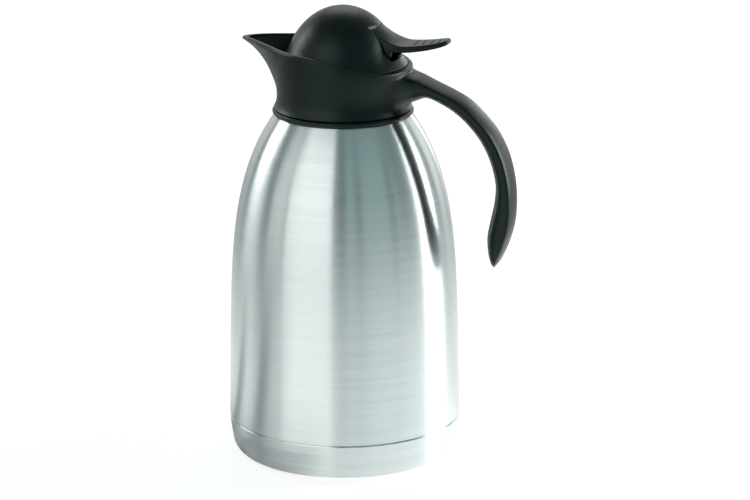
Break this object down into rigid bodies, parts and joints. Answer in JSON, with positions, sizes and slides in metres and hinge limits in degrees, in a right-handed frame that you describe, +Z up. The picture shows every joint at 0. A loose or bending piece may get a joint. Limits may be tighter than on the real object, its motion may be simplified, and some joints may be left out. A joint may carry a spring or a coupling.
{
  "type": "thermal carafe",
  "caption": "Double-walled steel thermal carafe with a black spouted collar, open handle, domed screw-in stopper and a thumb lever that opens a pour-through valve.",
  "frame": {"origin": "centre of the underside of the base, on the body axis", "axes": "+Z up along the body axis, +X towards the handle, -X towards the spout; the part is symmetric about the XZ plane"},
  "size_m": [0.1841, 0.147, 0.2873],
  "materials": {
    "body_steel": "satin, brushed round the axis",
    "flask_steel": "electropolished",
    "trim_steel": "plain",
    "port_brass": "brazed",
    "collar_plastic": "fine spark texture",
    "lid_plastic": "fine spark texture",
    "stopper_plastic": "satin",
    "seal_rubber": "matt silicone"
  },
  "bodies": {
    "jug": {"outer_shell": "body_steel", "inner_flask": "flask_steel", "shell_bottom": "flask_steel", "port_seal": "port_brass", "getter": "flask_steel", "base_cup": "body_steel", "collar": "collar_plastic", "collar_gasket": "seal_rubber"},
    "lid_carrier": {"stopper_seal": "seal_rubber"},
    "stopper": {"stopper_body": "stopper_plastic", "valve_seat": "trim_steel", "lid_dome": "lid_plastic", "lever_pin": "trim_steel", "rod_guide": "stopper_plastic", "rod_seal": "seal_rubber"},
    "lever": {"thumb_lever": "lid_plastic"},
    "valve": {"valve_rod": "trim_steel", "rod_cap": "stopper_plastic", "valve_disc": "stopper_plastic", "valve_seal": "seal_rubber", "valve_spring": "trim_steel"}
  },
  "joints": [
    {"name": "lid_lift", "type": "slide", "parent": "jug", "child": "lid_carrier", "axis": [0, 0, 1], "range_m": [0, 0.08]},
    {"name": "lid_turn", "type": "hinge", "parent": "lid_carrier", "child": "stopper", "pos_m": [0, 0, 0.24], "axis": [0, 0, 1], "range_deg": [0, 60]},
    {"name": "lever_press", "type": "hinge", "parent": "stopper", "child": "lever", "pos_m": [0.022, 0, 0.264], "axis": [0, 1, 0], "range_deg": [0, 10], "stiffness_Nm_per_rad": 0.002, "springref_deg": -17.19},
    {"name": "valve_lift", "type": "slide", "parent": "stopper", "child": "valve", "axis": [0, 0, 1], "range_m": [0, 0.00383], "deforming": ["valve_spring"]}
  ],
  "couplings": [
    {"joint": "lever_press", "follows": "valve_lift", "rad_per_m": 45.455}
  ]
}
